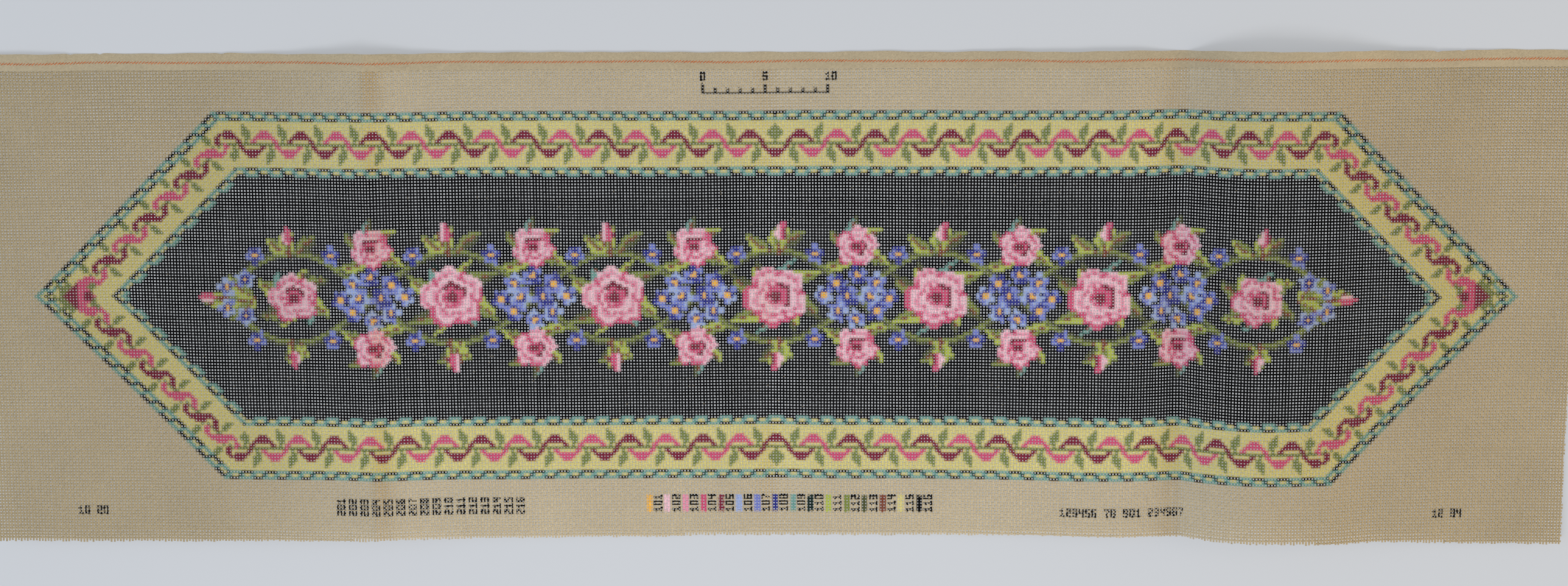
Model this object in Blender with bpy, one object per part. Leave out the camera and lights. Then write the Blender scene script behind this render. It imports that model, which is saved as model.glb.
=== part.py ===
"""Needlework canvas for a long runner: one stiff, open-mesh cotton sheet, unfolded and laid flat.

It had been folded in four, so it lies on its old creases: a raised one, a pressed-down one in the
middle, and a pressed-down one with a high bulge beside it. Metres, +Z up. X runs along the length,
+Y points to the woven selvedge and -Y to the hand-cut edge. The origin is the centre of the
underside, on the surface that the sheet lies on.
"""

from collections import namedtuple

import bmesh
import bpy

LENGTH = 1.300
WIDTH = 0.406  # at its widest, the left end
THICKNESS = 0.001
END_SLANT = 0.004  # how far the right end's front corner stands in
SLANT_START = 0.500  # where along X the right end starts to run out of square
COLUMN_STEP = 0.010  # spacing of the mesh along X
ROWS = 8  # divisions across the width
COTTON_COLOUR = (0.43, 0.35, 0.23, 1.0)
COTTON_ROUGHNESS = 0.9

# Height of the underside over the surface at one place along X: at the front edge, on the middle
# line and at the back edge. steep_in and steep_out say how sharply the cloth comes to that place
# and leaves it: 0 is level, 1 is straight, and more is a pressed crease.
Fold = namedtuple("Fold", "x front middle back steep_in steep_out")
FOLDS = (
    Fold(-0.650, 0.0090, 0.0015, 0.0030, 0.0, 0.4),
    Fold(-0.600, 0.0100, 0.0010, 0.0038, 0.4, 0.6),
    Fold(-0.552, 0.0095, 0.0000, 0.0000, 0.2, 0.0),
    Fold(-0.528, 0.0095, 0.0000, 0.0000, 0.0, 0.3),
    Fold(-0.430, 0.0120, 0.0060, 0.0012, 1.0, 0.7),
    Fold(-0.330, 0.0175, 0.0165, 0.0125, 1.8, 1.7),
    Fold(-0.250, 0.0070, 0.0070, 0.0018, 0.6, 1.0),
    Fold(-0.120, 0.0036, 0.0044, 0.0012, 0.8, 0.3),
    Fold(-0.004, 0.0000, 0.0000, 0.0000, 1.9, 0.0),
    Fold(0.004, 0.0000, 0.0000, 0.0000, 0.0, 1.9),
    Fold(0.120, 0.0020, 0.0030, 0.0012, 0.4, 0.4),
    Fold(0.280, 0.0120, 0.0100, 0.0050, 0.2, 0.2),
    Fold(0.326, 0.0065, 0.0000, 0.0000, 1.5, 0.0),
    Fold(0.334, 0.0065, 0.0000, 0.0000, 0.0, 1.9),
    Fold(0.400, 0.0300, 0.0265, 0.0220, 0.1, 0.1),
    Fold(0.450, 0.0260, 0.0225, 0.0165, 1.1, 0.9),
    Fold(0.500, 0.0130, 0.0115, 0.0050, 0.5, 0.6),
    Fold(0.560, 0.0075, 0.0040, 0.0014, 0.8, 0.6),
    Fold(0.604, 0.0070, 0.0000, 0.0000, 0.2, 0.0),
    Fold(0.626, 0.0075, 0.0000, 0.0000, 0.0, 0.3),
    Fold(0.650, 0.0090, 0.0012, 0.0020, 0.8, 0.0),
)

# How far the hand-cut front edge stands in from a straight line.
Cut = namedtuple("Cut", "x inset")
FRONT_CUTS = (
    Cut(-0.650, 0.0000),
    Cut(-0.515, 0.0004),
    Cut(-0.360, 0.0018),
    Cut(-0.300, 0.0029),
    Cut(-0.120, 0.0033),
    Cut(-0.045, 0.0050),
    Cut(0.124, 0.0053),
    Cut(0.200, 0.0068),
    Cut(0.300, 0.0066),
    Cut(0.400, 0.0052),
    Cut(0.480, 0.0037),
    Cut(0.600, 0.0009),
    Cut(0.650, 0.0006),
)


def clear_scene():
    for thing in list(bpy.data.objects):
        bpy.data.objects.remove(thing, do_unlink=True)


def span_at(rows, x):
    """The two rows on either side of x, and how far x lies from the first to the second."""
    for first, second in zip(rows, rows[1:]):
        if x <= second.x:
            break
    return first, second, (x - first.x) / (second.x - first.x)


def eased(share, steep_out, steep_in):
    """A cubic from 0 to 1 that leaves with slope steep_out and arrives with slope steep_in."""
    cubed = steep_out + steep_in - 2
    squared = 3 - 2 * steep_out - steep_in
    return ((cubed * share + squared) * share + steep_out) * share


def across(fold, back_share):
    """The fold's height at a share of the width, on the curve through its three heights."""
    front_weight = (1 - back_share) * (1 - 2 * back_share)
    middle_weight = 4 * back_share * (1 - back_share)
    back_weight = back_share * (2 * back_share - 1)
    return front_weight * fold.front + middle_weight * fold.middle + back_weight * fold.back


def underside(x, back_share):
    first, second, share = span_at(FOLDS, x)
    start = across(first, back_share)
    rise = across(second, back_share) - start
    return max(start + rise * eased(share, first.steep_out, second.steep_in), 0.0)


def front_edge(x):
    first, second, share = span_at(FRONT_CUTS, x)
    return -WIDTH / 2 + first.inset + (second.inset - first.inset) * eased(share, 0, 0)


def columns():
    """Places along X: each fold's own line, and even steps between one and the next."""
    places = [FOLDS[0].x]
    for first, second in zip(FOLDS, FOLDS[1:]):
        steps = max(1, round((second.x - first.x) / COLUMN_STEP))
        places += [first.x + (second.x - first.x) * (i + 1) / steps for i in range(steps)]
    return places


def sheet_point(x, back_share):
    y = front_edge(x) + (WIDTH / 2 - front_edge(x)) * back_share
    out_of_square = max(0.0, x - SLANT_START) / (LENGTH / 2 - SLANT_START)
    slanted = x - END_SLANT * (1 - back_share) * out_of_square
    return slanted, y, underside(x, back_share)


def cotton():
    material = bpy.data.materials.new("ecru_cotton")
    material.use_nodes = True
    shader = material.node_tree.nodes["Principled BSDF"]
    shader.inputs["Base Color"].default_value = COTTON_COLOUR
    shader.inputs["Roughness"].default_value = COTTON_ROUGHNESS
    shader.inputs["Metallic"].default_value = 0.0
    return material


def canvas():
    """The whole sheet, its selvedge woven in: the underside as a grid, thickened upwards."""
    shape = bmesh.new()
    grid = [
        [shape.verts.new(sheet_point(x, row / ROWS)) for row in range(ROWS + 1)]
        for x in columns()
    ]
    for left, right in zip(grid, grid[1:]):
        for row in range(ROWS):
            shape.faces.new((left[row], right[row], right[row + 1], left[row + 1]))
    mesh = bpy.data.meshes.new("canvas")
    shape.to_mesh(mesh)
    shape.free()
    mesh.shade_smooth()
    sheet = bpy.data.objects.new("canvas", mesh)
    bpy.context.scene.collection.objects.link(sheet)
    thicken = sheet.modifiers.new("Thickness", "SOLIDIFY")
    thicken.thickness = THICKNESS
    thicken.offset = 1
    mesh.materials.append(cotton())
    return sheet


def main():
    clear_scene()
    canvas()


main()
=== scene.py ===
"""The needlework canvas as it looks: a woven net of cotton threads, printed with a worked design.

Every thread pair is its own ribbon, going over and under those that cross it. The ribbons follow
the folds of the sheet's solid. The print is charted in cells of the net, counted from the middle of
the design: u along X, v along Y. The repeats of the border are short tables that were charted
from the photograph. The field, the tips and the margins are a design worked out by the
functions below.
"""

import math
from collections import namedtuple

import bpy
import numpy as np
from mathutils import Euler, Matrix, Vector


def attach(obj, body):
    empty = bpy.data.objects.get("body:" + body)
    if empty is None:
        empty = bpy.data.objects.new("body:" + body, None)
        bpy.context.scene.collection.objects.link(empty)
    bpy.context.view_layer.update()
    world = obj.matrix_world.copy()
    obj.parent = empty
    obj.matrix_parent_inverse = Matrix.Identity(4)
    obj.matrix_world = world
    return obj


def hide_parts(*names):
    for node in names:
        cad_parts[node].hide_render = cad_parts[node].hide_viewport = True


rng = np.random.default_rng(36)

# The sheet's own sizes, in metres, as its solid has them.
LENGTH = 1.300
WIDTH = 0.406
END_SLANT = 0.004
SLANT_START = 0.500

Fold = namedtuple("Fold", "x front middle back steep_in steep_out")
FOLDS = (
    Fold(-0.650, 0.0090, 0.0015, 0.0030, 0.0, 0.4),
    Fold(-0.600, 0.0100, 0.0010, 0.0038, 0.4, 0.6),
    Fold(-0.552, 0.0095, 0.0000, 0.0000, 0.2, 0.0),
    Fold(-0.528, 0.0095, 0.0000, 0.0000, 0.0, 0.3),
    Fold(-0.430, 0.0120, 0.0060, 0.0012, 1.0, 0.7),
    Fold(-0.330, 0.0175, 0.0165, 0.0125, 1.8, 1.7),
    Fold(-0.250, 0.0070, 0.0070, 0.0018, 0.6, 1.0),
    Fold(-0.120, 0.0036, 0.0044, 0.0012, 0.8, 0.3),
    Fold(-0.004, 0.0000, 0.0000, 0.0000, 1.9, 0.0),
    Fold(0.004, 0.0000, 0.0000, 0.0000, 0.0, 1.9),
    Fold(0.120, 0.0020, 0.0030, 0.0012, 0.4, 0.4),
    Fold(0.280, 0.0120, 0.0100, 0.0050, 0.2, 0.2),
    Fold(0.326, 0.0065, 0.0000, 0.0000, 1.5, 0.0),
    Fold(0.334, 0.0065, 0.0000, 0.0000, 0.0, 1.9),
    Fold(0.400, 0.0300, 0.0265, 0.0220, 0.1, 0.1),
    Fold(0.450, 0.0260, 0.0225, 0.0165, 1.1, 0.9),
    Fold(0.500, 0.0130, 0.0115, 0.0050, 0.5, 0.6),
    Fold(0.560, 0.0075, 0.0040, 0.0014, 0.8, 0.6),
    Fold(0.604, 0.0070, 0.0000, 0.0000, 0.2, 0.0),
    Fold(0.626, 0.0075, 0.0000, 0.0000, 0.0, 0.3),
    Fold(0.650, 0.0090, 0.0012, 0.0020, 0.8, 0.0),
)

Cut = namedtuple("Cut", "x inset")
FRONT_CUTS = (
    Cut(-0.650, 0.0000), Cut(-0.515, 0.0004), Cut(-0.360, 0.0018), Cut(-0.300, 0.0029),
    Cut(-0.120, 0.0033), Cut(-0.045, 0.0050), Cut(0.124, 0.0053), Cut(0.200, 0.0068),
    Cut(0.300, 0.0066), Cut(0.400, 0.0052), Cut(0.480, 0.0037), Cut(0.600, 0.0009),
    Cut(0.650, 0.0006),
)

# The net. A cell holds one thread pair each way and one hole.
CELLS_LONG = 516
FIRST_COLUMN = -257  # the left end, in cells from the middle of the design
FIRST_ROW = -82
LAST_ROW = 74  # where the selvedge starts
CELL = 0.00252
MIDDLE_ACROSS = 0.00295
CREASE_COLUMNS = (-131, -1, 130)
PAIR_WIDTH = 0.62  # of a thread pair, in cells
BLACK_PAIR_WIDTH = 0.50  # where the black ink has drawn it together
WAVE = 0.00021  # how far a thread pair goes over or under
MID_HEIGHT = 0.00027  # of the net's middle over the solid's underside
SELVEDGE_HEIGHT = 0.00050

# The printed design, in cells.
HALF_HEIGHT = 60
TIP = 241  # where the diagonals would meet the middle line
CORNER = TIP - HALF_HEIGHT

Ink = namedtuple("Ink", "red green blue")
INKS = {
    "ecru": Ink(197, 181, 151),
    "black": Ink(3, 3, 4),
    "teal": Ink(112, 160, 152),
    "yellow": Ink(216, 204, 134),
    "stem": Ink(116, 124, 68),
    "leaf": Ink(122, 132, 74),
    "deep_pink": Ink(208, 82, 120),
    "maroon": Ink(124, 32, 58),
    "pink": Ink(230, 148, 172),
    "pale_pink": Ink(243, 196, 208),
    "light_blue": Ink(160, 178, 226),
    "blue": Ink(120, 132, 208),
    "dark_blue": Ink(46, 52, 138),
    "lime": Ink(176, 188, 84),
    "olive": Ink(124, 136, 64),
    "dark_olive": Ink(74, 80, 46),
    "brown": Ink(122, 62, 46),
    "gold": Ink(240, 182, 84),
    "black_green": Ink(24, 42, 38),
}
INK_NAMES = list(INKS)

LENS = 56.96
CAMERA_PLACE = (0.0681, 0.3566, 2.0)
CAMERA_TURN = (-0.17377, 0.02897, -0.00514)
SENSOR_WIDTH = 36


def linear(channel):
    """A display value from 0 to 255 as the light it stands for."""
    share = np.asarray(channel, float) / 255
    return np.where(share <= 0.04045, share / 12.92, ((share + 0.055) / 1.055) ** 2.4)


def spans(rows, x):
    """For each x the two table rows on either side of it, and its share of the way."""
    table = np.array(rows)
    first = np.clip(np.searchsorted(table[:, 0], x, side="right") - 1, 0, len(table) - 2)
    before, after = table[first], table[first + 1]
    share = (x - before[..., 0]) / (after[..., 0] - before[..., 0])
    return before, after, np.clip(share, 0, 1)


def eased(share, steep_out, steep_in):
    """A cubic from 0 to 1 that leaves with slope steep_out and arrives with slope steep_in."""
    cubed = steep_out + steep_in - 2
    squared = 3 - 2 * steep_out - steep_in
    return ((cubed * share + squared) * share + steep_out) * share


def across(rows, back_share):
    front, middle, back = rows[..., 1], rows[..., 2], rows[..., 3]
    front_weight = (1 - back_share) * (1 - 2 * back_share)
    middle_weight = 4 * back_share * (1 - back_share)
    return front_weight * front + middle_weight * middle + back_share * (2 * back_share - 1) * back


def underside(x, back_share):
    before, after, share = spans(FOLDS, x)
    start = across(before, back_share)
    rise = across(after, back_share) - start
    return np.maximum(start + rise * eased(share, before[..., 5], after[..., 4]), 0)


def front_edge(x):
    before, after, share = spans(FRONT_CUTS, x)
    return -WIDTH / 2 + before[..., 1] + (after[..., 1] - before[..., 1]) * eased(share, 0, 0)


def arc_table():
    """Places along X, and how far along the cloth's middle line each lies from x = 0."""
    places = np.linspace(-LENGTH / 2, LENGTH / 2, 5201)
    heights = underside(places, np.full_like(places, 0.5))
    steps = np.hypot(np.diff(places), np.diff(heights))
    arc = np.concatenate([[0], np.cumsum(steps)])
    return places, arc - np.interp(0, places, arc)


PLACES, ARC = arc_table()
FLAT_LENGTH = float(ARC[-1] - ARC[0])
CELL_LONG = FLAT_LENGTH / CELLS_LONG
COLUMN_SHIFT = float(ARC[0]) / CELL_LONG - FIRST_COLUMN  # of the design's middle, in cells


def sheet_points(u, v, lift):
    """Points of the cloth at u and v cells from the design's middle, lift metres over the underside."""
    along = (u + COLUMN_SHIFT) * CELL_LONG
    y = MIDDLE_ACROSS + v * CELL
    # The weave is never quite straight.
    along = along + 0.00022 * np.sin(31 * along + 17 * y) + 0.00012 * np.sin(83 * along - 41 * y + 1)
    y = y + 0.00020 * np.sin(23 * along - 13 * y + 2) + 0.00012 * np.sin(67 * along + 37 * y)
    x = np.interp(along, ARC, PLACES)
    x = x + (along - np.clip(along, ARC[0], ARC[-1]))
    front = front_edge(x)
    back_share = np.clip((y - front) / (WIDTH / 2 - front), 0, 1)
    out_of_square = np.maximum(0, x - SLANT_START) / (LENGTH / 2 - SLANT_START)
    height = underside(x, back_share) + lift
    return np.stack([x - END_SLANT * (1 - back_share) * out_of_square, y, height], -1)


# What follows charts the print. Each function paints ink numbers where its shape covers u and v.


CHART_COLUMNS = np.arange(FIRST_COLUMN - 1, FIRST_COLUMN + CELLS_LONG + 2)
CHART_ROWS = np.arange(FIRST_ROW - 1, LAST_ROW + 3)


def cell_number(u, v):
    """The number of the cell round a place, in the chart of all cells."""
    column = np.clip(np.rint(u), CHART_COLUMNS[0], CHART_COLUMNS[-1]) - CHART_COLUMNS[0]
    row = np.clip(np.rint(v), CHART_ROWS[0], CHART_ROWS[-1]) - CHART_ROWS[0]
    return (column * len(CHART_ROWS) + row).astype(int)


class Chart:
    """The ink at each of many places, painted motif by motif."""

    def __init__(self, u, v):
        self.u, self.v = u, v
        self.ink = np.full(u.shape, INK_NAMES.index("ecru"))
        self.order = np.argsort(u, kind="stable")
        self.sorted_u = u[self.order]

    def near(self, u, v, reach):
        """The places within reach of a point, and where they lie from it."""
        first, last = np.searchsorted(self.sorted_u, (u - reach, u + reach))
        picked = self.order[first:last]
        picked = picked[np.abs(self.v[picked] - v) < reach]
        return picked, self.u[picked] - u, self.v[picked] - v

    def paint(self, picked, where, ink):
        self.ink[picked[where]] = INK_NAMES.index(ink)

    def stitch(self, u, v, ink):
        """One whole cell and its mirror images; only for the chart of all cells."""
        for column, row in ((u, v), (u, -v), (-u, v), (-u, -v)):
            if abs(row) <= HALF_HEIGHT and abs(column) <= TIP:
                self.ink[cell_number(column, row)] = INK_NAMES.index(ink)


# The border. Its repeats are whole cells, charted one by one. On the long sides a place has a route,
# counted along the side from its middle, and a depth, counted inwards. On the diagonals it has a
# row, counted up or down from the middle line, and a step, counted inwards along the row.
SIDE_BAND, SIDE_STRIP = 3, 18  # depths where the band and the inner strip start
DIAGONAL_BAND, DIAGONAL_STRIP = 5, 25  # steps where they start on the diagonals
STRIP_INKS = {"K": "black", "T": "teal", "Y": "yellow"}
# Eight cells of the edging strip, row by row inwards, on the outer and the inner strip.
SIDE_STRIPS = (
    (0, ("TKKKTTTT", "KYYTTYYT", "TTTTKKKK")),
    (SIDE_STRIP, ("KKKTTTTK", "YYTTYYKT", "TTTKKKKT")),
)
# Six rows of the strip on the diagonals, step by step inwards.
DIAGONAL_ROWS = ("KKYTT", "KKYTT", "KKKKK", "TTYKK", "TTYKK", "TTTTT")
DIAGONAL_STRIPS = ((0, 3), (DIAGONAL_STRIP, 0))  # first step and row shift

Span = namedtuple("Span", "row first last")
# One S-curve of the long sides: the cells from first to last along the route, at each depth.
SIDE_CURVE = (
    Span(14, -1, 1), Span(13, -2, 2), Span(12, -3, 3), Span(11, -4, -3), Span(11, 3, 4), Span(10, 4, 4),
    Span(9, 4, 5), Span(8, 5, 11), Span(7, 6, 10), Span(6, 7, 9), Span(9, 11, 12),
)
SIDE_LEAVES = (
    (6, (Span(11, 0, 0), Span(12, -1, 0), Span(13, -1, 1), Span(14, -1, 1), Span(15, 0, 1), Span(16, 1, 1))),
    (14, (Span(9, 0, 0), Span(8, -1, 0), Span(7, -1, 1), Span(6, -1, 1), Span(5, 0, 1), Span(4, 1, 1))),
)
MIDDLE_LEAF_ROWS = range(4, 10)  # depths of the one leaf that hangs in the middle of each side
MIDDLE_LEAF_WIDTH = 4.4
SIDE_SPACING = 12
STEM_DEPTH = 10
# One S-curve of the diagonals: rows and cells counted from its own corner, at step CURVE_STEP.
DIAGONAL_CURVE = (
    Span(-3, -2, -1), Span(-2, -2, -1), Span(-1, -2, -1), Span(0, -1, 7), Span(1, 0, 8), Span(2, 2, 5),
    Span(2, 8, 9), Span(3, 8, 9), Span(4, 8, 9), Span(5, 9, 9),
)
DIAGONAL_LEAVES = (
    Span(3, 12, 14), Span(4, 11, 13), Span(5, 11, 12), Span(6, 10, 10),
    Span(3, 4, 4), Span(4, 2, 3), Span(5, 1, 3), Span(6, 0, 2),
)
DIAGONAL_SPACING = 7
DIAGONAL_CURVES = 8
FIRST_CORNER = 4  # the row of the curve nearest to the tip
CURVE_STEP = 10
STEM_STEP = 13
CURVE_INKS = ("maroon", "deep_pink")
TIP_HEART = 227  # where the heart at each tip lies


def mirrored(angle, side):
    """The angle as it is, or its mirror image where side is negative."""
    return angle if side > 0 else 180 - angle


def turned(du, dv, angle):
    """How far places lie along a direction, and how far aside of it."""
    turn = math.radians(angle)
    along = du * math.cos(turn) + dv * math.sin(turn)
    return along, dv * math.cos(turn) - du * math.sin(turn)


def cells_of(shape):
    """The row of each cell of a charted shape, and its place along the row."""
    return [(row, along) for row, first, last in shape for along in range(first, last + 1)]


def paint_tip(chart):
    """What closes the border at both tips: a small pink heart in a ring of pointed leaves."""
    for sign in (1, -1):
        heart = sign * TIP_HEART
        for angle, length in ((0, 9), (38, 9), (-38, 9), (70, 8), (-70, 8)):
            leaf_angle = mirrored(angle, sign)
            paint_leaf(chart, heart + sign * 1.5, 0, leaf_angle, length, 2.4, "leaf", "leaf", "stem")
        for angle in (132, -132):
            leaf_angle = mirrored(angle, sign)
            paint_leaf(chart, heart - sign * 2, 0, leaf_angle, 6.5, 2.6, "leaf", "leaf", "stem")
        picked, du, dv = chart.near(heart, 0, 7)
        out = sign * du
        chart.paint(picked, np.abs(out) + np.abs(dv) < 5.2, "deep_pink")
        chart.paint(picked, (out > 0.8) & (out + np.abs(dv) < 5.2), "maroon")
        chart.paint(picked, (out < -1.8) & (np.abs(dv) < 1.6) & (out > -4.6), "maroon")


def paint_strips(chart, diagonal, depth, step):
    """The teal edging strips: a black line that steps from side to side, and yellow dashes."""
    everywhere = np.arange(len(depth))
    for first, rows in SIDE_STRIPS:
        for number, marks in enumerate(rows):
            on_row = ~diagonal & (depth == first + number)
            mark = np.array(list(marks))[np.abs(chart.u).astype(int) % len(marks)]
            for letter, ink in STRIP_INKS.items():
                chart.paint(everywhere, on_row & (mark == letter), ink)
    for first, shift in DIAGONAL_STRIPS:
        marks = np.array([list(row) for row in DIAGONAL_ROWS])
        inside = diagonal & (step >= first) & (step < first + marks.shape[1])
        row = (np.abs(chart.v).astype(int) + shift) % len(marks)
        mark = marks[row, np.clip(step - first, 0, marks.shape[1] - 1).astype(int)]
        for letter, ink in STRIP_INKS.items():
            chart.paint(everywhere, inside & (mark == letter), ink)
    chart.stitch(0, HALF_HEIGHT, "black")


def paint_side_run(chart):
    """The stem of the long sides with its S-curves and leaves."""
    for k in range(CORNER // SIDE_SPACING + 1):
        for stalk, leaf in SIDE_LEAVES:
            for row, along in cells_of(leaf):
                chart.stitch(SIDE_SPACING * k + stalk + along, HALF_HEIGHT - row, "leaf")
        for row, along in cells_of(SIDE_CURVE):
            chart.stitch(SIDE_SPACING * k + along, HALF_HEIGHT - row, CURVE_INKS[k % 2])
    for number, row in enumerate(MIDDLE_LEAF_ROWS, 1):
        share = number / (len(MIDDLE_LEAF_ROWS) + 1)
        half = int(MIDDLE_LEAF_WIDTH / 2 * math.sin(math.pi * share))
        for along in range(-half, half + 1):
            chart.stitch(along, HALF_HEIGHT - row, "leaf")


def paint_diagonal_run(chart):
    """The same on the diagonals, in the stepped shapes that they have there."""
    for k in range(DIAGONAL_CURVES):
        corner = FIRST_CORNER + DIAGONAL_SPACING * k
        curve_ink = CURVE_INKS[(k + 1) % 2]
        for shape, ink in ((DIAGONAL_LEAVES, "leaf"), (DIAGONAL_CURVE, curve_ink)):
            for row, along in cells_of(shape):
                v = corner + row
                chart.stitch(TIP - v - (CURVE_STEP + along - row), v, ink)


def paint_border(chart):
    depth = HALF_HEIGHT - np.abs(chart.v)
    step = TIP - np.abs(chart.u) - np.abs(chart.v)
    diagonal = step / math.sqrt(2) < depth
    everywhere = np.arange(len(depth))
    inside = (depth >= 0) & (step >= 0)
    chart.paint(everywhere, inside, "black")
    band = np.where(
        diagonal,
        (step >= DIAGONAL_BAND) & (step < DIAGONAL_STRIP),
        (depth >= SIDE_BAND) & (depth < SIDE_STRIP),
    )
    chart.paint(everywhere, inside & band, "yellow")
    chart.paint(everywhere, inside & np.where(diagonal, step == STEM_STEP, depth == STEM_DEPTH), "stem")
    before = chart.ink.copy()
    paint_side_run(chart)
    chart.ink = np.where(inside & band & ~diagonal, chart.ink, before)
    before = chart.ink.copy()
    paint_diagonal_run(chart)
    chart.ink = np.where(inside & band & diagonal, chart.ink, before)
    paint_strips(chart, diagonal, depth, step)
    paint_tip(chart)


def paint_leaf(chart, u, v, angle, length, width, light, dark, rib_ink="brown"):
    """One leaf from its stalk at u, v: a light half, a dark half and a rib."""
    picked, du, dv = chart.near(u, v, length + 1)
    along, aside = turned(du, dv, angle)
    share = np.clip(along / length, 0, 1)
    aside = aside - 0.10 * length * np.sin(math.pi * share)
    half = width / 2 * np.sin(math.pi * np.clip(share, 0.001, 1) ** 0.75)
    half = half * (1 - 0.18 * (np.mod(along, 2.4) < 0.8))
    inside = (along > 0) & (along < length) & (np.abs(aside) < half)
    chart.paint(picked, inside & (aside > 0), light)
    chart.paint(picked, inside & (aside <= 0), dark)
    rib = (along > -1) & (along < 0.8 * length) & (np.abs(aside) < 0.36)
    chart.paint(picked, rib, rib_ink)


def paint_round_bloom(chart, u, v, radius, turn):
    """A full round bloom: ruffled petals in rings that wind in to a dark heart."""
    picked, du, dv = chart.near(u, v, radius * 1.2)
    reach = np.hypot(du, dv * 1.06) / radius
    angle = np.arctan2(dv, du) + turn
    ruffle = 1 + 0.09 * np.cos(5 * angle) + 0.03 * np.cos(11 * angle)
    share = reach / ruffle
    winding = np.mod(share * 2.9 - angle / (2 * math.pi), 1)
    petals = np.mod(angle / (2 * math.pi) * 5 + 0.4, 1)
    inside = share < 1
    chart.paint(picked, inside, "pink")
    chart.paint(picked, inside & (winding > 0.35), "pale_pink")
    chart.paint(picked, inside & (winding > 0.86), "deep_pink")
    chart.paint(picked, inside & (share > 0.72) & (petals > 0.84), "deep_pink")
    chart.paint(picked, inside & (share > 0.86) & (np.sin(angle) < -0.1), "deep_pink")
    chart.paint(picked, (share < 0.36) & (winding > 0.2), "deep_pink")
    chart.paint(picked, share < 0.20, "maroon")
    chart.paint(picked, (share > 0.36) & (share < 0.5) & (np.sin(angle + 0.8) > 0.45), "maroon")


def paint_star_flower(chart, u, v, radius, turn, light="light_blue", dark="blue"):
    """A small flower of five petals round a gold eye."""
    picked, du, dv = chart.near(u, v, radius + 1)
    reach = np.hypot(du, dv)
    angle = np.arctan2(dv, du) + turn
    lobes = radius * (0.55 + 0.45 * np.abs(np.cos(2.5 * angle)))
    chart.paint(picked, reach < lobes, light)
    chart.paint(picked, (reach < lobes) & (np.sin(angle * 2) > 0.25), dark)
    chart.paint(picked, (reach < 0.45 * radius) & (reach > 0.9), "dark_blue")
    chart.paint(picked, reach < 0.95, "gold")


def paint_bud(chart, u, v, angle, length):
    """A closed bud in a green cup."""
    paint_leaf(chart, u, v, angle + 16, length * 0.8, 3.6, "lime", "olive")
    paint_leaf(chart, u, v, angle - 16, length * 0.8, 3.6, "olive", "lime")
    picked, du, dv = chart.near(u, v, length + 1)
    along, aside = turned(du, dv, angle)
    share = np.clip((along - 0.3 * length) / (0.7 * length), 0, 1)
    half = 2.0 * np.sin(math.pi * np.clip(share, 0.001, 1) ** 0.7)
    inside = (along > 0.3 * length) & (np.abs(aside) < half)
    chart.paint(picked, inside, "deep_pink")
    chart.paint(picked, inside & (aside > 0.5), "pale_pink")
    chart.paint(picked, inside & (aside < -1.0), "maroon")


def paint_line(chart, points, ink, thickness):
    """A thin curved stalk through the points."""
    for (u0, v0), (u1, v1) in zip(points, points[1:]):
        span = math.hypot(u1 - u0, v1 - v0)
        picked, du, dv = chart.near((u0 + u1) / 2, (v0 + v1) / 2, span / 2 + thickness)
        along = ((du * (u1 - u0)) + dv * (v1 - v0)) / span
        aside = (dv * (u1 - u0) - du * (v1 - v0)) / span
        chart.paint(picked, (np.abs(along) <= span / 2) & (np.abs(aside) < thickness / 2), ink)


OVAL = 52  # cells from one big bloom to the next
SWING = 15  # how far the twining stems swing from the middle line


def stem_height(u):
    return SWING * np.cos(math.pi * u / OVAL)


def paint_field(chart):
    """Two stems that twine into a chain of ovals, a bloom in each and small flowers between."""
    for sign in (1, -1):
        for inside, ink, thickness in ((0, "dark_olive", 2.2), (0.4, "olive", 1.0)):
            places = np.arange(-3.42 * OVAL, 3.43 * OVAL, 2)
            points = [(float(p), float(sign * (stem_height(p) + inside))) for p in places]
            paint_line(chart, points, ink, thickness)
    for number in range(-3, 4):
        centre = number * OVAL
        outer = abs(number) == 3
        paint_oval(chart, centre, 0.8 if outer else 1.0, 1 if number >= 0 else -1)
    for number in range(-3, 3):
        paint_crossing(chart, (number + 0.5) * OVAL, 1 if number >= 0 else -1)
    for sign in (1, -1):
        paint_end_spray(chart, sign)


def paint_oval(chart, centre, scale, side):
    """A big bloom in its leaves, with a bud over each crest of the stems."""
    for angle, length, inks in (
        (28, 17, ("lime", "olive")), (152, 17, ("olive", "dark_olive")),
        (208, 17, ("lime", "olive")), (332, 17, ("olive", "dark_olive")),
        (62, 14, ("teal", "black_green")), (118, 14, ("lime", "dark_olive")),
        (242, 14, ("teal", "black_green")), (298, 14, ("lime", "dark_olive")),
    ):
        paint_leaf(chart, centre, 0, mirrored(angle, side), length * scale, 6.4, *inks)
    paint_round_bloom(chart, centre, 0, 10.0 * scale, 0.5 * side)
    for up in (1, -1):
        crest = up * SWING
        paint_leaf(chart, centre - 2, crest, 90 * up + 52, 10 * scale, 4.6, "lime", "olive")
        paint_leaf(chart, centre + 2, crest, 90 * up - 52, 10 * scale, 4.6, "olive", "dark_olive")
        paint_bud(chart, centre + side, crest, 90 * up - 8 * side, 10.5 * scale)
        for step in (-1, 1):
            paint_star_flower(chart, centre + 12.5 * step, crest * 0.93, 3.4, step, "blue", "dark_blue")


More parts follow.
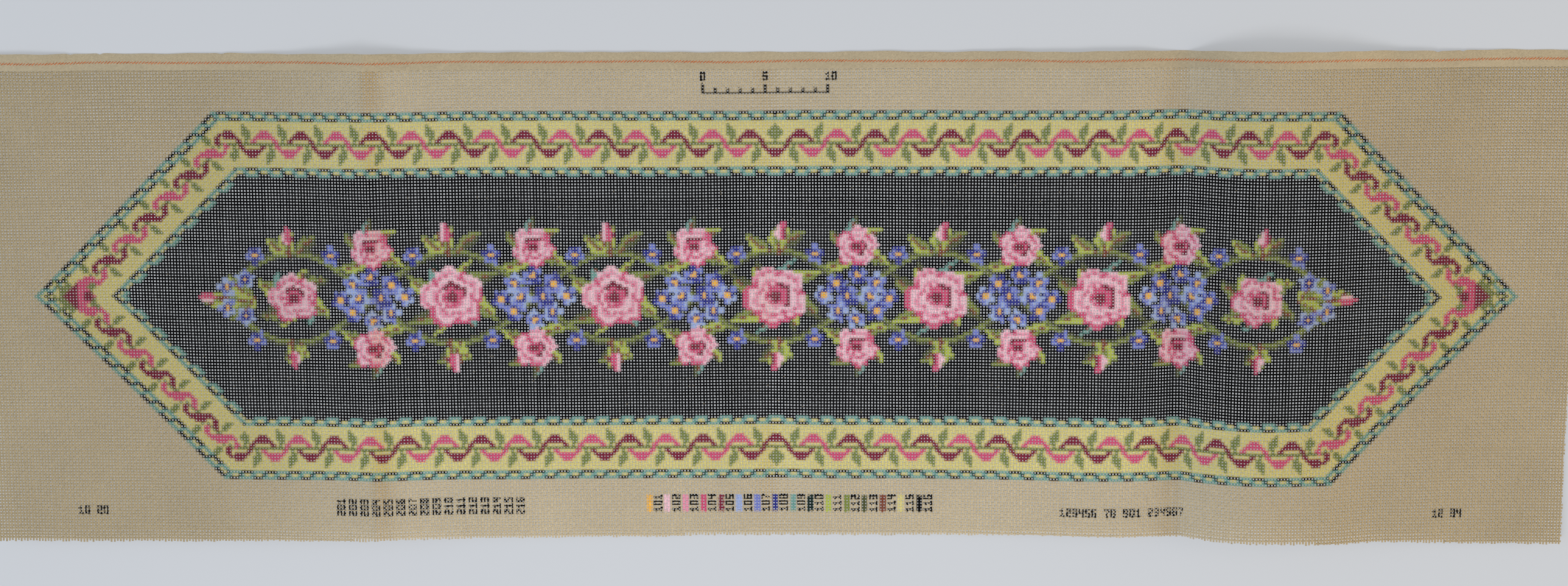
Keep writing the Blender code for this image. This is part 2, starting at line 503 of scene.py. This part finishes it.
def paint_crossing(chart, centre, side):
    """Small flowers where the stems cross, and a smaller bloom on each side of them."""
    for up in (1, -1):
        for angle, ink in ((35, "lime"), (145, "olive"), (90, "teal")):
            paint_leaf(chart, centre, up * 16, up * angle, 11, 4.8, ink, "dark_olive")
        paint_leaf(chart, centre, up * 14, up * 200, 12, 4.6, "lime", "olive")
        paint_leaf(chart, centre, up * 14, up * -20, 12, 4.6, "lime", "olive")
        paint_round_bloom(chart, centre, up * 16.5, 6.6, up * side * 1.1)
    for row, (du, dv, radius) in enumerate((
        (-6.4, 4.6, 3.6), (6.2, 4.8, 3.6), (0.2, 7.2, 3.3), (-10.6, 0.6, 3.4), (10.4, -0.4, 3.4),
        (-6.0, -4.8, 3.6), (6.4, -4.4, 3.6), (-0.4, -7.2, 3.3), (-3.0, 0.2, 4.0), (4.2, 0.2, 4.0),
    )):
        inks = ("light_blue", "blue") if row % 2 else ("blue", "dark_blue")
        paint_star_flower(chart, centre + side * du, dv, radius, row, *inks)


def paint_end_spray(chart, sign):
    """What closes the chain towards each tip of the hexagon."""
    start = sign * (3 * OVAL + 13)
    for angle, length in ((0, 17), (42, 12), (-42, 12)):
        paint_leaf(chart, start, 0, mirrored(angle, sign), length, 5.2, "lime", "olive")
    for du, dv in ((3, 6), (3, -6), (9, 3.2), (9, -3.2)):
        paint_star_flower(chart, start + sign * du, dv, 3.3, dv)
    paint_bud(chart, start + sign * 10, 0, mirrored(0, sign), 9)


# Plain digits, three squares wide and five high, read from the top row down.
DIGITS = {
    "0": "111101101101111", "1": "010110010010111", "2": "111001111100111", "3": "111001111001111",
    "4": "101101111001001", "5": "111100111001111", "6": "111100111101111", "7": "111001010010010",
    "8": "111101111101111", "9": "111101111001111",
}
KEY_INKS = (
    "gold", "pale_pink", "pink", "deep_pink", "maroon", "light_blue", "blue", "dark_blue",
    "teal", "black_green", "lime", "olive", "dark_olive", "brown", "yellow", "black",
)
DIGIT_STEP = 2.05  # cells from one digit to the next
DIGIT_DOT = 0.57  # the side of one of a digit's squares, in cells

# The rule in the back margin: ten ticks over a straight line.
RULE_MIDDLE = -3
RULE_HALF_LENGTH = 20
RULE_LEFT = RULE_MIDDLE - RULE_HALF_LENGTH
RULE_BASE = 66
TICK_SPACING = 4

Number = namedtuple("Number", "u v text upright")
KEY_LEFT, KEY_SPACING = -42.7, 5.87
NUMBERS = (
    *(Number(KEY_LEFT + 5.2 + KEY_SPACING * i, -71.8, str(101 + i), False) for i in range(len(KEY_INKS))),
    *(Number(-141 + 3.9 * i, -72.4, str(201 + i), False) for i in range(len(KEY_INKS))),
    *(Number(RULE_LEFT - 0.8 + TICK_SPACING * tick, 70.2, str(tick), True) for tick in (0, 5, 10)),
    Number(-230, -72.5, "10 20", True),
    Number(92, -72.5, "123456 78 901 234567", True),
    Number(216, -72.5, "12 34", True),
)


def paint_number(chart, number):
    """A plain number from its lower left corner, upright or turned to read upwards."""
    picked, du, dv = chart.near(number.u, number.v, DIGIT_STEP * len(number.text) + 3)
    along, up = (du, dv) if number.upright else (dv, -du)
    for place, digit in enumerate(number.text):
        if digit == " ":
            continue
        column = np.floor((along - place * DIGIT_STEP) / DIGIT_DOT).astype(int)
        row = np.floor(up / DIGIT_DOT).astype(int)
        inside = (column >= 0) & (column < 3) & (row >= 0) & (row < 5)
        shape = np.array([mark == "1" for mark in DIGITS[digit]]).reshape(5, 3)
        lit = shape[4 - np.clip(row, 0, 4), np.clip(column, 0, 2)]
        chart.paint(picked, inside & lit, "black")


def near_number(u, v):
    """Which places lie on a number or next to it."""
    found = np.zeros(len(u), bool)
    for number in NUMBERS:
        length, height = DIGIT_STEP * len(number.text), 5 * DIGIT_DOT
        right, left, up = (length, 0, height) if number.upright else (0, height, length)
        across = (u > number.u - left - 0.5) & (u < number.u + right + 0.5)
        found |= across & (v > number.v - 0.5) & (v < number.v + up + 0.5)
    return found


def paint_margins(chart):
    """The colour key with its numbers, a second row of numbers, and a ten-centimetre rule."""
    everywhere = np.arange(len(chart.u))
    for number, ink in enumerate(KEY_INKS):
        left = KEY_LEFT + KEY_SPACING * number
        patch = (np.abs(chart.u - left - 1) < 1.0) & (np.abs(chart.v + 69) < 2.8)
        chart.paint(everywhere, patch, ink)
    on_rule = np.abs(chart.u - RULE_MIDDLE) < RULE_HALF_LENGTH
    chart.paint(everywhere, on_rule & (np.abs(chart.v - RULE_BASE - 0.3) < 0.4), "black")
    for tick in range(11):
        top = RULE_BASE + (3.2 if tick % 5 == 0 else 1.8)
        on_tick = np.abs(chart.u - RULE_LEFT - tick * TICK_SPACING) < 0.35
        chart.paint(everywhere, on_tick & (chart.v > RULE_BASE) & (chart.v < top), "black")
    for number in NUMBERS:
        paint_number(chart, number)


def chart_cells():
    """The chart of all cells: each is one colour, round one hole of the net."""
    u, v = np.meshgrid(CHART_COLUMNS, CHART_ROWS, indexing="ij")
    chart = Chart(u.ravel().astype(float), v.ravel().astype(float))
    paint_border(chart)
    paint_field(chart)
    return chart.ink


CELL_INKS = chart_cells()


def inks_at(u, v):
    """The ink at each place: that of its cell, or in the margins that of the finer marks."""
    ink = CELL_INKS[cell_number(u, v)]
    margin = np.flatnonzero(np.abs(v) > HALF_HEIGHT + 1)
    chart = Chart(u[margin], v[margin])
    paint_margins(chart)
    ink[margin] = chart.ink
    return ink


# Painted shade: darker, warmer bands across the cloth. The three narrow ones lie along one side of each
# crease; the broad faint one darkens a wide stretch round u = -60.
ShadeBand = namedtuple("ShadeBand", "u width strength")
SHADE_BANDS = (ShadeBand(-128.5, 3.5, 0.32), ShadeBand(-3, 3.5, 0.18), ShadeBand(127.5, 4, 0.20), ShadeBand(-60, 26, 0.05))
SHADE_LOSS = (0.35, 0.6, 1.0)  # of red, green and blue

END_SHADE_FROM = 115  # cells from the middle, where the painted shade towards the cloth's ends starts
END_SHADE_TO = 195
END_SHADE_LOSS = (0.21, 0.24, 0.31)  # of red, green and blue where the painted shade is full
DARK_INK = 0.08  # an ink whose brightest part is less covers the cotton evenly


def aged(u):
    """How much painted shade darkens and warms the cloth towards its ends at each place, from 0 to 1."""
    share = np.clip((np.abs(u) - END_SHADE_FROM) / (END_SHADE_TO - END_SHADE_FROM), 0, 1)
    return share * share * (3 - 2 * share)


def printed_colours(u, v):
    """The colour of the cloth at each place: its ink uneven, painted shade darkening and warming its ends,
    and painted shade in darker, warmer bands along its folds.
    """
    ink = inks_at(u, v)
    table = np.array([[linear(part) for part in INKS[name]] for name in INK_NAMES])
    colours = table[ink]
    bare = ink == INK_NAMES.index("ecru")
    ecru = table[INK_NAMES.index("ecru")]
    dark = table[ink].max(axis=1) < DARK_INK
    missed = np.where(bare | dark, 0, np.clip(rng.normal(0.02, 0.035, len(u)), 0, 0.2))
    specks = rng.random(len(u)) < 0.002
    missed = np.where(specks & ~bare, 0.25, missed)[:, None]
    colours = colours * (1 - missed) + ecru * missed
    colours = colours * rng.normal(1, 0.05, len(u))[:, None]
    # Painted shade: the cloth darker and warmer towards its ends.
    colours = colours * (1 - aged(u)[:, None] * np.array(END_SHADE_LOSS))
    # Painted shade in the bands along the folds.
    for shade_band in SHADE_BANDS:
        strength = shade_band.strength * np.exp(-(((u - shade_band.u) / shade_band.width) ** 2))
        strength = strength * (0.7 + 0.3 * np.sin(v / 7 + shade_band.u))
        colours = colours * (1 - strength[:, None] * np.array(SHADE_LOSS))
    return np.clip(colours, 0, 1)


# Meshes.


def new_mesh(name, points, quads, colours, threads, uv):
    """A mesh of quads: a colour for each corner, and a thread place and a UV for each point."""
    points, threads, uv = points.reshape(-1, 3), threads.reshape(-1, 3), uv.reshape(-1, 2)
    used, index = np.unique(quads, return_inverse=True)
    quads = index.reshape(quads.shape)
    mesh = bpy.data.meshes.new(name)
    mesh.from_pydata(points[used].tolist(), [], quads.tolist())
    paint = mesh.attributes.new("print", "FLOAT_COLOR", "CORNER")
    shown = np.ones((len(quads), 4, 4), np.float32)
    shown[..., :3] = colours
    paint.data.foreach_set("color", shown.ravel())
    place = mesh.attributes.new("thread", "FLOAT_VECTOR", "POINT")
    place.data.foreach_set("vector", threads[used].astype(np.float32).ravel())
    layer = mesh.uv_layers.new(name="OFBake")
    layer.data.foreach_set("uv", uv[used][quads.ravel()].astype(np.float32).ravel())
    mesh.shade_smooth()
    thing = bpy.data.objects.new(name, mesh)
    bpy.context.scene.collection.objects.link(thing)
    return thing


def ribbon_grid(count, steps):
    """Point numbers of count ribbons of steps quads each, as quads: rows, steps, 4."""
    first = (np.arange(count)[:, None] * (steps + 1) + np.arange(steps)[None, :]) * 2
    return np.stack([first, first + 2, first + 3, first + 1], -1)


def stations(first, last):
    """Where a ribbon bends, in cells: on either side of each crossing, and at its two ends."""
    crossings = np.arange(first, last)
    return np.concatenate([[first], np.stack([crossings + 0.25, crossings + 0.75], 1).ravel(), [last]])


def over_or_under(place, own, first):
    """1 where a ribbon goes over, -1 where it goes under, 0 at its ends."""
    parity = np.mod(np.floor(place) + own, 2) * 2 - 1
    return np.where(np.mod(place, 1) > 0.01, first * parity, 0)


def half_widths(u, v, du, dv):
    """Half the width of a thread pair at each place, in cells: less where its cells are black."""
    sides = [CELL_INKS[cell_number(u + side * du, v + side * dv)] for side in (-0.3, 0.3)]
    black = sum(side == INK_NAMES.index("black") for side in sides) / 2
    uneven = np.clip(rng.normal(1, 0.055, u.shape), 0.85, 1.15)
    return uneven * (PAIR_WIDTH + (BLACK_PAIR_WIDTH - PAIR_WIDTH) * black) / 2


def along_ribbons(first_column, last_column):
    """The thread pairs that run along the cloth between two columns."""
    rows = np.arange(FIRST_ROW, LAST_ROW)[:, None]
    place = stations(first_column, last_column)
    steps = len(place) - 1
    u = np.broadcast_to(place, (len(rows), steps + 1)).copy()
    ends = rng.uniform(-0.35, 0.15, (len(rows), 2))
    if first_column == FIRST_COLUMN:
        u[:, 0] = first_column + ends[:, 0]
    if last_column == FIRST_COLUMN + CELLS_LONG:
        u[:, -1] = last_column - ends[:, 1]
    middle = np.broadcast_to(rows + 0.5, u.shape)
    over = over_or_under(place, rows, 1) + np.zeros_like(u)
    wide = half_widths(u, middle, 0, 1) * ROW_WIDTHS[rows - FIRST_ROW]
    drift = ROW_DRIFTS[rows - FIRST_ROW]
    sides = np.stack([middle + drift - wide, middle + drift + wide], -1)
    u2 = np.repeat(u[..., None], 2, -1)
    points = sheet_points(u2, sides, MID_HEIGHT + WAVE * np.repeat(over[..., None], 2, -1))
    number = np.broadcast_to(rows[..., None], u2.shape)
    threads = np.stack([u2, np.broadcast_to([-0.5, 0.5], u2.shape), number], -1)
    strip = (number - FIRST_ROW + np.array([0.12, 0.88])) / len(rows) / 2
    uv = np.stack([(u2 - first_column + 0.4) / (last_column - first_column + 0.8), strip], -1)
    centre_u = (u[:, 1:] + u[:, :-1]) / 2
    centre_v = np.broadcast_to(rows + 0.5, centre_u.shape)
    x = sheet_points(centre_u, centre_v, 0)[..., 0]
    kept = MIDDLE_ACROSS + (centre_v - 0.36) * CELL > front_edge(x) + 0.0003
    return points, threads, uv, ribbon_grid(len(rows), steps)[kept], u2, sides


def across_ribbons(first_column, last_column):
    """The thread pairs that run from the cut front edge into the selvedge."""
    columns = np.arange(first_column, last_column)[:, None]
    place = stations(FIRST_ROW, LAST_ROW + 0.3)
    steps = len(place) - 1
    v = np.broadcast_to(place, (len(columns), steps + 1)).copy()
    middle = np.broadcast_to(columns + 0.5, v.shape)
    x = sheet_points(middle[:, 0], v[:, 0], 0)[..., 0]
    cut = (front_edge(x) + rng.uniform(-0.0007, 0.0005, len(columns)) - MIDDLE_ACROSS) / CELL
    v = np.maximum(v, cut[:, None])
    over = over_or_under(place, columns, -1) + np.zeros_like(v)
    over[:, -1] = -1
    index = columns - FIRST_COLUMN
    wide = half_widths(middle, v, 1, 0) * COLUMN_WIDTHS[index]
    drift = COLUMN_DRIFTS[index]
    sides = np.stack([middle + drift + wide, middle + drift - wide], -1)
    v2 = np.repeat(v[..., None], 2, -1)
    points = sheet_points(sides, v2, MID_HEIGHT + WAVE * np.repeat(over[..., None], 2, -1))
    number = np.broadcast_to(index[..., None], v2.shape)
    threads = np.stack([v2, np.broadcast_to([-0.5, 0.5], v2.shape), number + 0.5], -1)
    strip = 0.5 + (number - index[0] + np.array([0.12, 0.88])) / len(columns) / 2
    uv = np.stack([(v2 - FIRST_ROW + 0.4) / (LAST_ROW - FIRST_ROW + 1.1), strip], -1)
    kept = v[:, 1:] - v[:, :-1] > 0.05
    return points, threads, uv, ribbon_grid(len(columns), steps)[kept], sides, v2


ROWS = LAST_ROW - FIRST_ROW
ROW_WIDTHS = rng.normal(1, 0.05, ROWS)
ROW_DRIFTS = rng.normal(0, 0.025, ROWS)
COLUMN_WIDTHS = rng.normal(1, 0.05, CELLS_LONG)
COLUMN_DRIFTS = rng.normal(0, 0.025, CELLS_LONG)


def split(layers, quads, chosen):
    """Cuts each chosen quad in four, and adds the new points to every layer of point values."""
    share = np.array([0, 0.5, 1])
    along, aside = np.meshgrid(share, share, indexing="ij")
    along, aside = along.ravel(), aside.ravel()
    weights = np.stack(
        [(1 - along) * (1 - aside), along * (1 - aside), along * aside, (1 - along) * aside], -1
    )
    first = len(layers[0]) + np.arange(chosen.sum())[:, None, None] * len(weights)
    corner = np.array([0, 1, 3, 4])[None, :, None]
    small = (first + corner + np.array([0, 3, 4, 1])).reshape(-1, 4)

    def with_new_points(layer):
        added = np.einsum("gc,qcd->qgd", weights, layer[quads[chosen]])
        return np.concatenate([layer, added.reshape(-1, layer.shape[1])])

    return [with_new_points(layer) for layer in layers], np.concatenate([quads[~chosen], small])


def canvas_panel(name, first_column, last_column):
    """The net between two creases."""
    parts = (along_ribbons(first_column, last_column), across_ribbons(first_column, last_column))
    quads = np.concatenate([parts[0][3], parts[1][3] + parts[0][0].size // 3])
    layers = []
    for values in (0, 1, 2):
        layers.append(np.concatenate([part[values].reshape(-1, part[values].shape[-1]) for part in parts]))
    layers.append(np.concatenate([np.stack([part[4], part[5]], -1).reshape(-1, 2) for part in parts]))
    middle = layers[3][quads].mean(axis=1)
    layers, quads = split(layers, quads, near_number(middle[:, 0], middle[:, 1]))
    points, threads, uv, cells = layers
    return new_mesh(name, points, quads, printed_colours(*cells.T)[quads], threads, uv)


Nick = namedtuple("Nick", "u depth width")
NICKS = (
    Nick(-225.5, 0.0008, 0.8), Nick(-216, 0.0010, 0.7), Nick(-177, 0.0009, 1.2),
    Nick(212, 0.0009, 0.8), Nick(220, 0.0010, 0.7),
)
SELVEDGE_ROWS = 16
SELVEDGE_OVERLAP = 0.15  # over the net's last row, in cells


def selvedge_edge(u):
    """How far the woven edge stands in from the sheet's straight back line, in metres."""
    wavy = 0.00035 * (1 + np.sin(u / 6.5)) * (0.6 + 0.4 * np.sin(u / 31)) + 0.0002 * np.sin(u / 2.1)
    for nick in NICKS:
        wavy = wavy + nick.depth * np.exp(-(((u - nick.u) / nick.width) ** 2))
    return wavy


def selvedge():
    """The dense twill edge: one strip from the net to the back edge."""
    columns = 2 * CELLS_LONG
    u = FIRST_COLUMN + np.arange(columns + 1) / 2
    share = np.arange(SELVEDGE_ROWS + 1) / SELVEDGE_ROWS
    back = (WIDTH / 2 - selvedge_edge(u) - MIDDLE_ACROSS) / CELL
    front = LAST_ROW - SELVEDGE_OVERLAP
    v = front + (back[:, None] - front) * share
    u2 = np.broadcast_to(u[:, None], v.shape)
    soft_edge = 0.00018 * (share < 0.01) + 0.0001 * (share > 0.99)
    points = sheet_points(u2, v, SELVEDGE_HEIGHT - soft_edge)
    number = np.arange(v.size).reshape(v.shape)
    quads = np.stack([number[:-1, :-1], number[1:, :-1], number[1:, 1:], number[:-1, 1:]], -1)
    quads = quads.reshape(-1, 4)
    colours = np.repeat([[float(linear(part)) for part in INKS["ecru"]]], len(quads), 0)
    colours = colours * rng.normal(0.86, 0.03, len(quads))[:, None]
    threads = np.stack([u2, v, v * 0], -1)
    uv = np.stack([(u2 - FIRST_COLUMN) / CELLS_LONG, 0.02 + 0.96 * np.broadcast_to(share, v.shape)], -1)
    return new_mesh("selvedge", points, quads, colours[:, None], threads, uv)


ORANGE = Ink(206, 112, 62)
ORANGE_INSET = 0.0078  # of the orange thread from the back edge
FLOAT_LENGTH = 0.62  # of one orange float, in cells
FLOAT_LIFT = 0.0001  # over the selvedge
FLOAT_HUMP = 0.00012
# The six corners of a float: how far along it, how far aside, and 1 where it is humped.
FLOAT_CORNERS = (
    (-0.5, -0.30, 0), (-0.05, -0.17, 1), (0.5, 0.18, 0),
    (0.5, 0.34, 0), (0.05, 0.2, 1), (-0.5, -0.12, 0),
)


def orange_thread():
    """A row of short slanting floats, each a small humped lozenge."""
    count = CELLS_LONG * 2 - 1
    u = FIRST_COLUMN + 0.5 + np.arange(count) / 2
    u = u + rng.normal(0, 0.03, count)
    wavy = 0.15 * np.sin(u / 9) + rng.normal(0, 0.03, count)
    zigzag = 0.28 * (np.arange(count) % 2 - 0.5)
    back = (WIDTH / 2 - ORANGE_INSET - MIDDLE_ACROSS) / CELL + wavy + zigzag
    corners = np.array(FLOAT_CORNERS)
    along, aside = corners[:, 0] * FLOAT_LENGTH, corners[:, 1]
    height = SELVEDGE_HEIGHT + FLOAT_LIFT + corners[:, 2] * FLOAT_HUMP
    size = rng.uniform(0.8, 1.15, (count, 1))
    points = sheet_points(u[:, None] + along * size, back[:, None] + aside * size, height)
    first = np.arange(count)[:, None] * len(corners)
    quads = np.concatenate([first + np.array([0, 1, 4, 5]), first + np.array([1, 2, 3, 4])], 0)
    tone = np.array([float(linear(part)) for part in ORANGE])
    colours = np.repeat(tone[None], len(quads), 0) * rng.uniform(0.7, 1.2, (len(quads), 1))
    u2 = along + u[:, None]
    v2 = np.broadcast_to(aside, u2.shape)
    threads = np.stack([u2, v2, np.broadcast_to(u[:, None], u2.shape)], -1)
    uv = np.stack([(u2 - FIRST_COLUMN) / CELLS_LONG, 0.5 + v2], -1)
    return new_mesh("orange_thread", points, quads, colours[:, None], threads, uv)


# Materials.

SPECULAR = 0.12  # of dry cotton
GROOVE_SHADE_TONES = (0.76, 1.09)  # painted shade between the two threads of a pair and along its edges, and painted light on the two threads
GAP_SHADE_TONES = (1.0, 0.62)  # tone away from the small gap at a crossing, and painted shade in it
FLOOR_COLOUR = (0.24, 0.25, 0.27, 1)
GLOW_COLOUR = (0.93, 0.96, 1.0, 1)
GLOW_STRENGTH = 0.36


class Shader:
    """A Principled material, and short ways to add nodes to it."""

    def __init__(self, name, roughness):
        self.material = bpy.data.materials.new(name)
        self.material.use_nodes = True
        self.tree = self.material.node_tree
        self.main = self.tree.nodes["Principled BSDF"]
        self.main.inputs["Roughness"].default_value = roughness
        self.main.inputs["Metallic"].default_value = 0
        self.main.inputs["Specular IOR Level"].default_value = SPECULAR

    def node(self, kind, **settings):
        made = self.tree.nodes.new(kind)
        for name, value in settings.items():
            setattr(made, name, value)
        return made

    def put(self, value, socket):
        if isinstance(value, (int, float, tuple)):
            socket.default_value = value
        else:
            self.tree.links.new(value, socket)

    def math(self, operation, first, second=0.0, third=0.0):
        made = self.node("ShaderNodeMath", operation=operation)
        for socket, value in zip(made.inputs, (first, second, third)):
            self.put(value, socket)
        return made.outputs[0]

    def noise(self, vector, scale, detail=2.0):
        made = self.node("ShaderNodeTexNoise")
        self.put(vector, made.inputs["Vector"])
        made.inputs["Scale"].default_value = scale
        made.inputs["Detail"].default_value = detail
        return made.outputs["Fac"]

    def spread(self, value, low, high):
        """A value from 0 to 1 as one from low to high."""
        return self.math("MULTIPLY_ADD", value, high - low, low)

    def tint(self, colour, factor):
        """The colour, lighter or darker by a factor."""
        made = self.node("ShaderNodeVectorMath", operation="SCALE")
        self.put(colour, made.inputs[0])
        self.put(factor, made.inputs["Scale"])
        return made.outputs[0]

    def bump(self, height, distance, strength):
        made = self.node("ShaderNodeBump")
        made.inputs["Strength"].default_value = strength
        made.inputs["Distance"].default_value = distance
        self.put(height, made.inputs["Height"])
        self.put(made.outputs["Normal"], self.main.inputs["Normal"])

    def thread_place(self):
        """How far along its thread a place lies, in cells, and how far across it."""
        attribute = self.node("ShaderNodeAttribute", attribute_name="thread")
        parts = self.node("ShaderNodeSeparateXYZ")
        self.put(attribute.outputs["Vector"], parts.inputs[0])
        return parts.outputs[:2]

    def printed(self):
        return self.node("ShaderNodeAttribute", attribute_name="print").outputs["Color"]

    def object_place(self):
        return self.node("ShaderNodeTexCoord").outputs["Object"]


def printed_cotton():
    """Pairs of fine twisted threads, printed: a groove between the two, with painted shade in it and along
    the pair's edges and painted light on the threads, and small gaps at the crossings painted dark as shade.
    """
    shader = Shader("printed_cotton", 0.88)
    along, aside = shader.thread_place()
    turns = shader.math("SINE", shader.math("MULTIPLY", aside, 2 * math.pi))
    two_threads = shader.math("ABSOLUTE", turns)
    twist_place = shader.math("MULTIPLY_ADD", aside, 3.0, shader.math("MULTIPLY", along, 5.0))
    twist = shader.math("SINE", shader.math("MULTIPLY", twist_place, 2 * math.pi))
    fuzz = shader.noise(shader.object_place(), 2200.0)
    height = shader.math("MULTIPLY_ADD", twist, 0.10, shader.math("MULTIPLY", two_threads, 0.8))
    height = shader.math("MULTIPLY_ADD", fuzz, 0.3, height)
    shader.bump(height, 0.0003, 0.9)
    # Painted shade: a dark dot in the small gap between the two threads at each crossing.
    middle = shader.math("SUBTRACT", shader.math("FRACT", along), 0.5)
    near_middle = shader.math("MULTIPLY", shader.math("ABSOLUTE", middle), 7.0)
    near_groove = shader.math("MULTIPLY", shader.math("ABSOLUTE", aside), 7.0)
    gap_shade = shader.math("SUBTRACT", 1.0, shader.math("MAXIMUM", near_middle, near_groove))
    gap_shade = shader.math("MAXIMUM", gap_shade, 0.0)
    # Painted shade in the groove and at the edges of each pair, painted light on its two threads.
    groove_shade = shader.spread(two_threads, *GROOVE_SHADE_TONES)
    patchy = shader.spread(shader.noise(shader.object_place(), 14.0), 0.90, 1.10)
    grain = shader.spread(shader.noise(shader.object_place(), 700.0), 0.86, 1.14)
    factor = shader.math("MULTIPLY", shader.math("MULTIPLY", groove_shade, patchy), grain)
    factor = shader.math("MULTIPLY", factor, shader.spread(gap_shade, *GAP_SHADE_TONES))
    shader.put(shader.tint(shader.printed(), factor), shader.main.inputs["Base Color"])
    return shader.material


def twill_cotton():
    """The dense twill of the selvedge: fine slanting ridges."""
    shader = Shader("twill_cotton", 0.9)
    along, up = shader.thread_place()
    slant = shader.math("MULTIPLY_ADD", up, 2.6, shader.math("MULTIPLY", along, 2.0))
    ridges = shader.math("SINE", shader.math("MULTIPLY", slant, 2 * math.pi))
    cross = shader.math("SINE", shader.math("MULTIPLY", shader.math("SUBTRACT", along, up), 4 * math.pi))
    dots = shader.math("MULTIPLY_ADD", cross, 0.3, shader.math("MULTIPLY", ridges, 0.7))
    fuzz = shader.noise(shader.object_place(), 1800.0)
    shader.bump(shader.math("MULTIPLY_ADD", fuzz, 0.4, dots), 0.00012, 0.6)
    # Painted shade in the dips of the twill, painted light on its ridges.
    pit_shade = shader.spread(dots, 0.92, 1.10)
    patchy = shader.spread(shader.noise(shader.object_place(), 25.0), 0.88, 1.12)
    grain = shader.spread(shader.noise(shader.object_place(), 900.0), 0.85, 1.15)
    factor = shader.math("MULTIPLY", shader.math("MULTIPLY", pit_shade, patchy), grain)
    shader.put(shader.tint(shader.printed(), factor), shader.main.inputs["Base Color"])
    return shader.material


def orange_cotton():
    shader = Shader("orange_cotton", 0.85)
    aside = shader.thread_place()[1]
    strands = shader.math("SINE", shader.math("MULTIPLY", aside, 40.0))
    shader.bump(strands, 0.00006, 0.6)
    grain = shader.spread(shader.noise(shader.object_place(), 800.0), 0.8, 1.2)
    shader.put(shader.tint(shader.printed(), grain), shader.main.inputs["Base Color"])
    return shader.material


def pale_floor():
    shader = Shader("pale_floor", 0.75)
    shader.main.inputs["Base Color"].default_value = FLOOR_COLOUR
    shader.main.inputs["Emission Color"].default_value = GLOW_COLOUR
    shader.main.inputs["Emission Strength"].default_value = GLOW_STRENGTH
    return shader.material


# Putting it together.


def make_canvas():
    cotton = printed_cotton()
    edges = (FIRST_COLUMN, *CREASE_COLUMNS, FIRST_COLUMN + CELLS_LONG)
    for number, (first, last) in enumerate(zip(edges, edges[1:]), 1):
        panel = canvas_panel(f"canvas_{number}", first, last)
        panel.data.materials.append(cotton)
        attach(panel, "root")
        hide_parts("canvas")
    strip = selvedge()
    strip.data.materials.append(twill_cotton())
    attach(strip, "root")
    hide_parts("canvas")
    orange = orange_thread()
    orange.data.materials.append(orange_cotton())
    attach(orange, "root")


FLOOR_SIZE = 8
FLOOR_HEIGHT = -0.0002


def make_stage():
    bpy.ops.mesh.primitive_plane_add(size=FLOOR_SIZE, location=(0, 0, FLOOR_HEIGHT))
    floor = bpy.context.object
    floor.name = "floor"
    floor.data.materials.append(pale_floor())


Lamp = namedtuple("Lamp", "name place aim size energy colour")
LAMPS = (
    Lamp("main", (-0.05, -0.62, 1.3), (0, 0, 0), 0.7, 11, (1.0, 0.985, 0.96)),
    Lamp("warm", (2.2, 0.0, 0.8), (0, 0, 0), 0.9, 26, (1.0, 0.82, 0.58)),
    Lamp("cool", (-2.2, 0.1, 0.9), (0, 0, 0), 1.0, 19, (0.78, 0.89, 1.0)),
)
ROOM_COLOUR = (0.86, 0.92, 1.0, 1)
ROOM_STRENGTH = 0.42


def make_lights():
    for lamp in LAMPS:
        data = bpy.data.lights.new(lamp.name, "AREA")
        data.size, data.energy, data.color = lamp.size, lamp.energy, lamp.colour
        light = bpy.data.objects.new(lamp.name, data)
        light.location = lamp.place
        light.rotation_euler = (Vector(lamp.aim) - Vector(lamp.place)).to_track_quat("-Z", "Y").to_euler()
        bpy.context.scene.collection.objects.link(light)
    world = bpy.data.worlds.new("room")
    world.use_nodes = True
    background = world.node_tree.nodes["Background"]
    background.inputs["Color"].default_value = ROOM_COLOUR
    background.inputs["Strength"].default_value = ROOM_STRENGTH
    bpy.context.scene.world = world
    bpy.context.scene.view_settings.view_transform = "Standard"


def make_camera():
    data = bpy.data.cameras.new("camera")
    data.sensor_width = SENSOR_WIDTH
    data.lens = LENS
    camera = bpy.data.objects.new("camera", data)
    camera.location = CAMERA_PLACE
    camera.rotation_euler = Euler(CAMERA_TURN, "XYZ")
    bpy.context.scene.collection.objects.link(camera)
    bpy.context.scene.camera = camera


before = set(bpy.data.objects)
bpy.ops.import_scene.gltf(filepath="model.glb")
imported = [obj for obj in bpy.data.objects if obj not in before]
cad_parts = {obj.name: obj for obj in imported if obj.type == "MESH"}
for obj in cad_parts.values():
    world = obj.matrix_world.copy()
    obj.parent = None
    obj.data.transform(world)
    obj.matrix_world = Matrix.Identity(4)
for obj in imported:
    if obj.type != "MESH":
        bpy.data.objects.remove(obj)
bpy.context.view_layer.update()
make_camera()
make_stage()
make_lights()
make_canvas()
